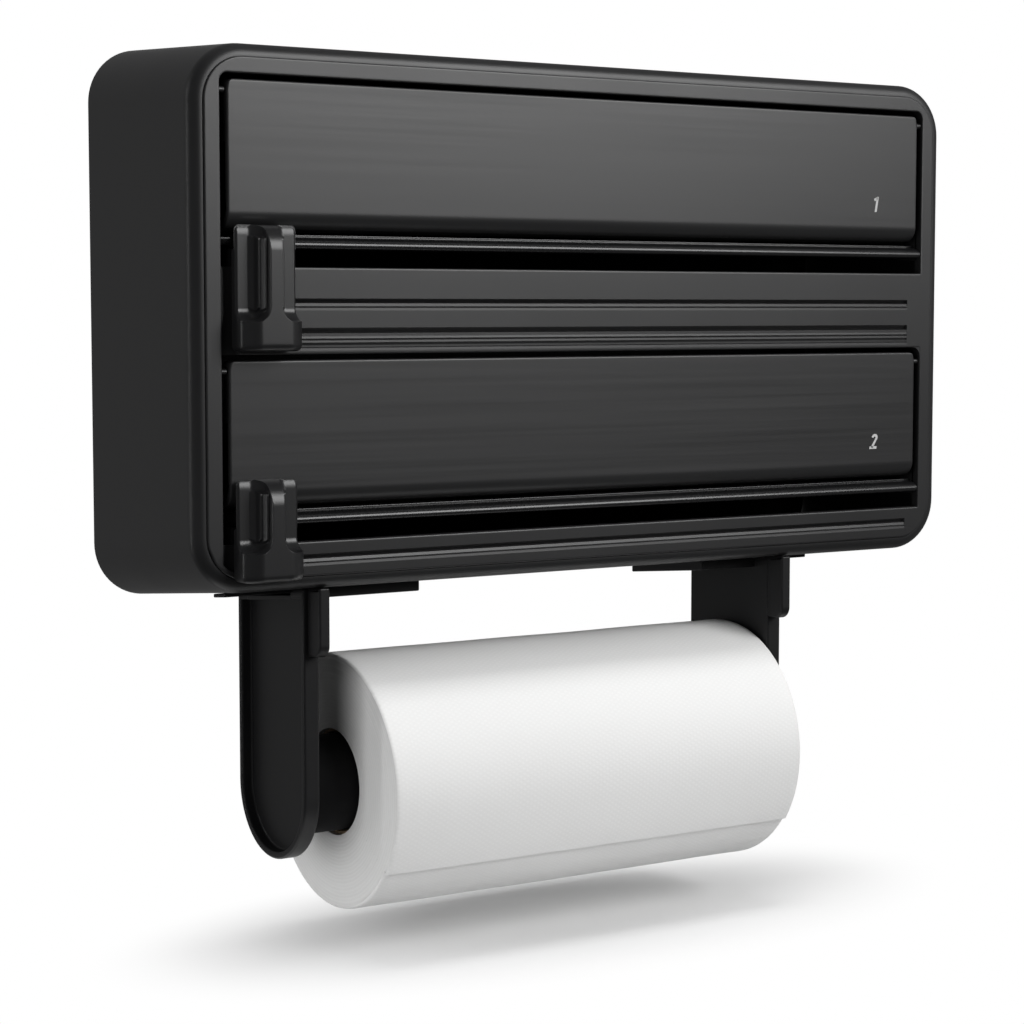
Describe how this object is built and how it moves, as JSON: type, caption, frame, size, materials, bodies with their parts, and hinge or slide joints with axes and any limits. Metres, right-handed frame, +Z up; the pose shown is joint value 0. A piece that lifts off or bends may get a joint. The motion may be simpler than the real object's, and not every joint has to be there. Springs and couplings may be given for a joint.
{
  "type": "triple kitchen roll holder",
  "caption": "Wall-mounted kitchen roll holder with drop-front film and foil bays, sliding cutters and sliding arms that carry a paper roll below.",
  "frame": {"origin": "middle of the wall hole pattern on the back face, at the middle height of the front", "axes": "+X right seen from the front, +Y into the wall, +Z up"},
  "size_m": [0.38, 0.1109, 0.3564],
  "materials": {
    "housing_plastic": "satin black, moulded",
    "frame_plastic": "satin black, moulded",
    "door_plastic": "satin black with faint sideways streaks",
    "rail_plastic": "smooth black, semi-gloss",
    "cutter_plastic": "satin black, moulded",
    "arm_plastic": "satin black, moulded",
    "inner_plastic": "dull black",
    "steel": "plain",
    "core_card": "grey-brown board",
    "roll_paper": "white, finely embossed"
  },
  "bodies": {
    "housing": {"housing_shell": "housing_plastic", "back_plate": "inner_plastic", "front_frame": "frame_plastic", "frame_screws": "steel", "film_tray": "inner_plastic", "film_tray_screws": "steel", "foil_tray": "inner_plastic", "foil_tray_screws": "steel", "film_rail": "rail_plastic", "foil_rail": "rail_plastic", "arm_rail": "inner_plastic", "arm_rail_screws": "steel"},
    "film_door": {"film_door": "door_plastic", "film_door_pins": "steel"},
    "foil_door": {"foil_door": "door_plastic", "foil_door_pins": "steel"},
    "film_cutter": {"film_cutter_grip": "cutter_plastic", "film_cutter_blade": "steel", "film_cutter_shoe": "inner_plastic", "film_cutter_screw": "steel"},
    "foil_cutter": {"foil_cutter_grip": "cutter_plastic", "foil_cutter_blade": "steel", "foil_cutter_shoe": "inner_plastic", "foil_cutter_screw": "steel"},
    "left_arm": {"left_arm": "arm_plastic", "left_hub": "inner_plastic", "left_slide_shoe": "inner_plastic", "left_slide_screws": "steel"},
    "right_arm": {"right_arm": "arm_plastic", "right_hub": "inner_plastic", "right_slide_shoe": "inner_plastic", "right_slide_screws": "steel"},
    "roll": {"roll_core": "core_card", "kitchen_roll": "roll_paper"}
  },
  "joints": [
    {"name": "film_door_hinge", "type": "hinge", "parent": "housing", "child": "film_door", "pos_m": [0, -0.0855, 0.04475], "axis": [1, 0, 0], "range_deg": [0, 75]},
    {"name": "foil_door_hinge", "type": "hinge", "parent": "housing", "child": "foil_door", "pos_m": [0, -0.0855, -0.06245], "axis": [1, 0, 0], "range_deg": [0, 28]},
    {"name": "film_cutter_slide", "type": "slide", "parent": "housing", "child": "film_cutter", "axis": [1, 0, 0], "range_m": [0, 0.317]},
    {"name": "foil_cutter_slide", "type": "slide", "parent": "housing", "child": "foil_cutter", "axis": [1, 0, 0], "range_m": [0, 0.317]},
    {"name": "left_arm_slide", "type": "slide", "parent": "housing", "child": "left_arm", "axis": [-1, 0, 0], "range_m": [0, 0.016]},
    {"name": "right_arm_slide", "type": "slide", "parent": "housing", "child": "right_arm", "axis": [1, 0, 0], "range_m": [0, 0.03]},
    {"name": "roll_spin", "type": "hinge", "parent": "right_arm", "child": "roll", "pos_m": [0, -0.056, -0.19175], "axis": [1, 0, 0], "continuous": true}
  ]
}
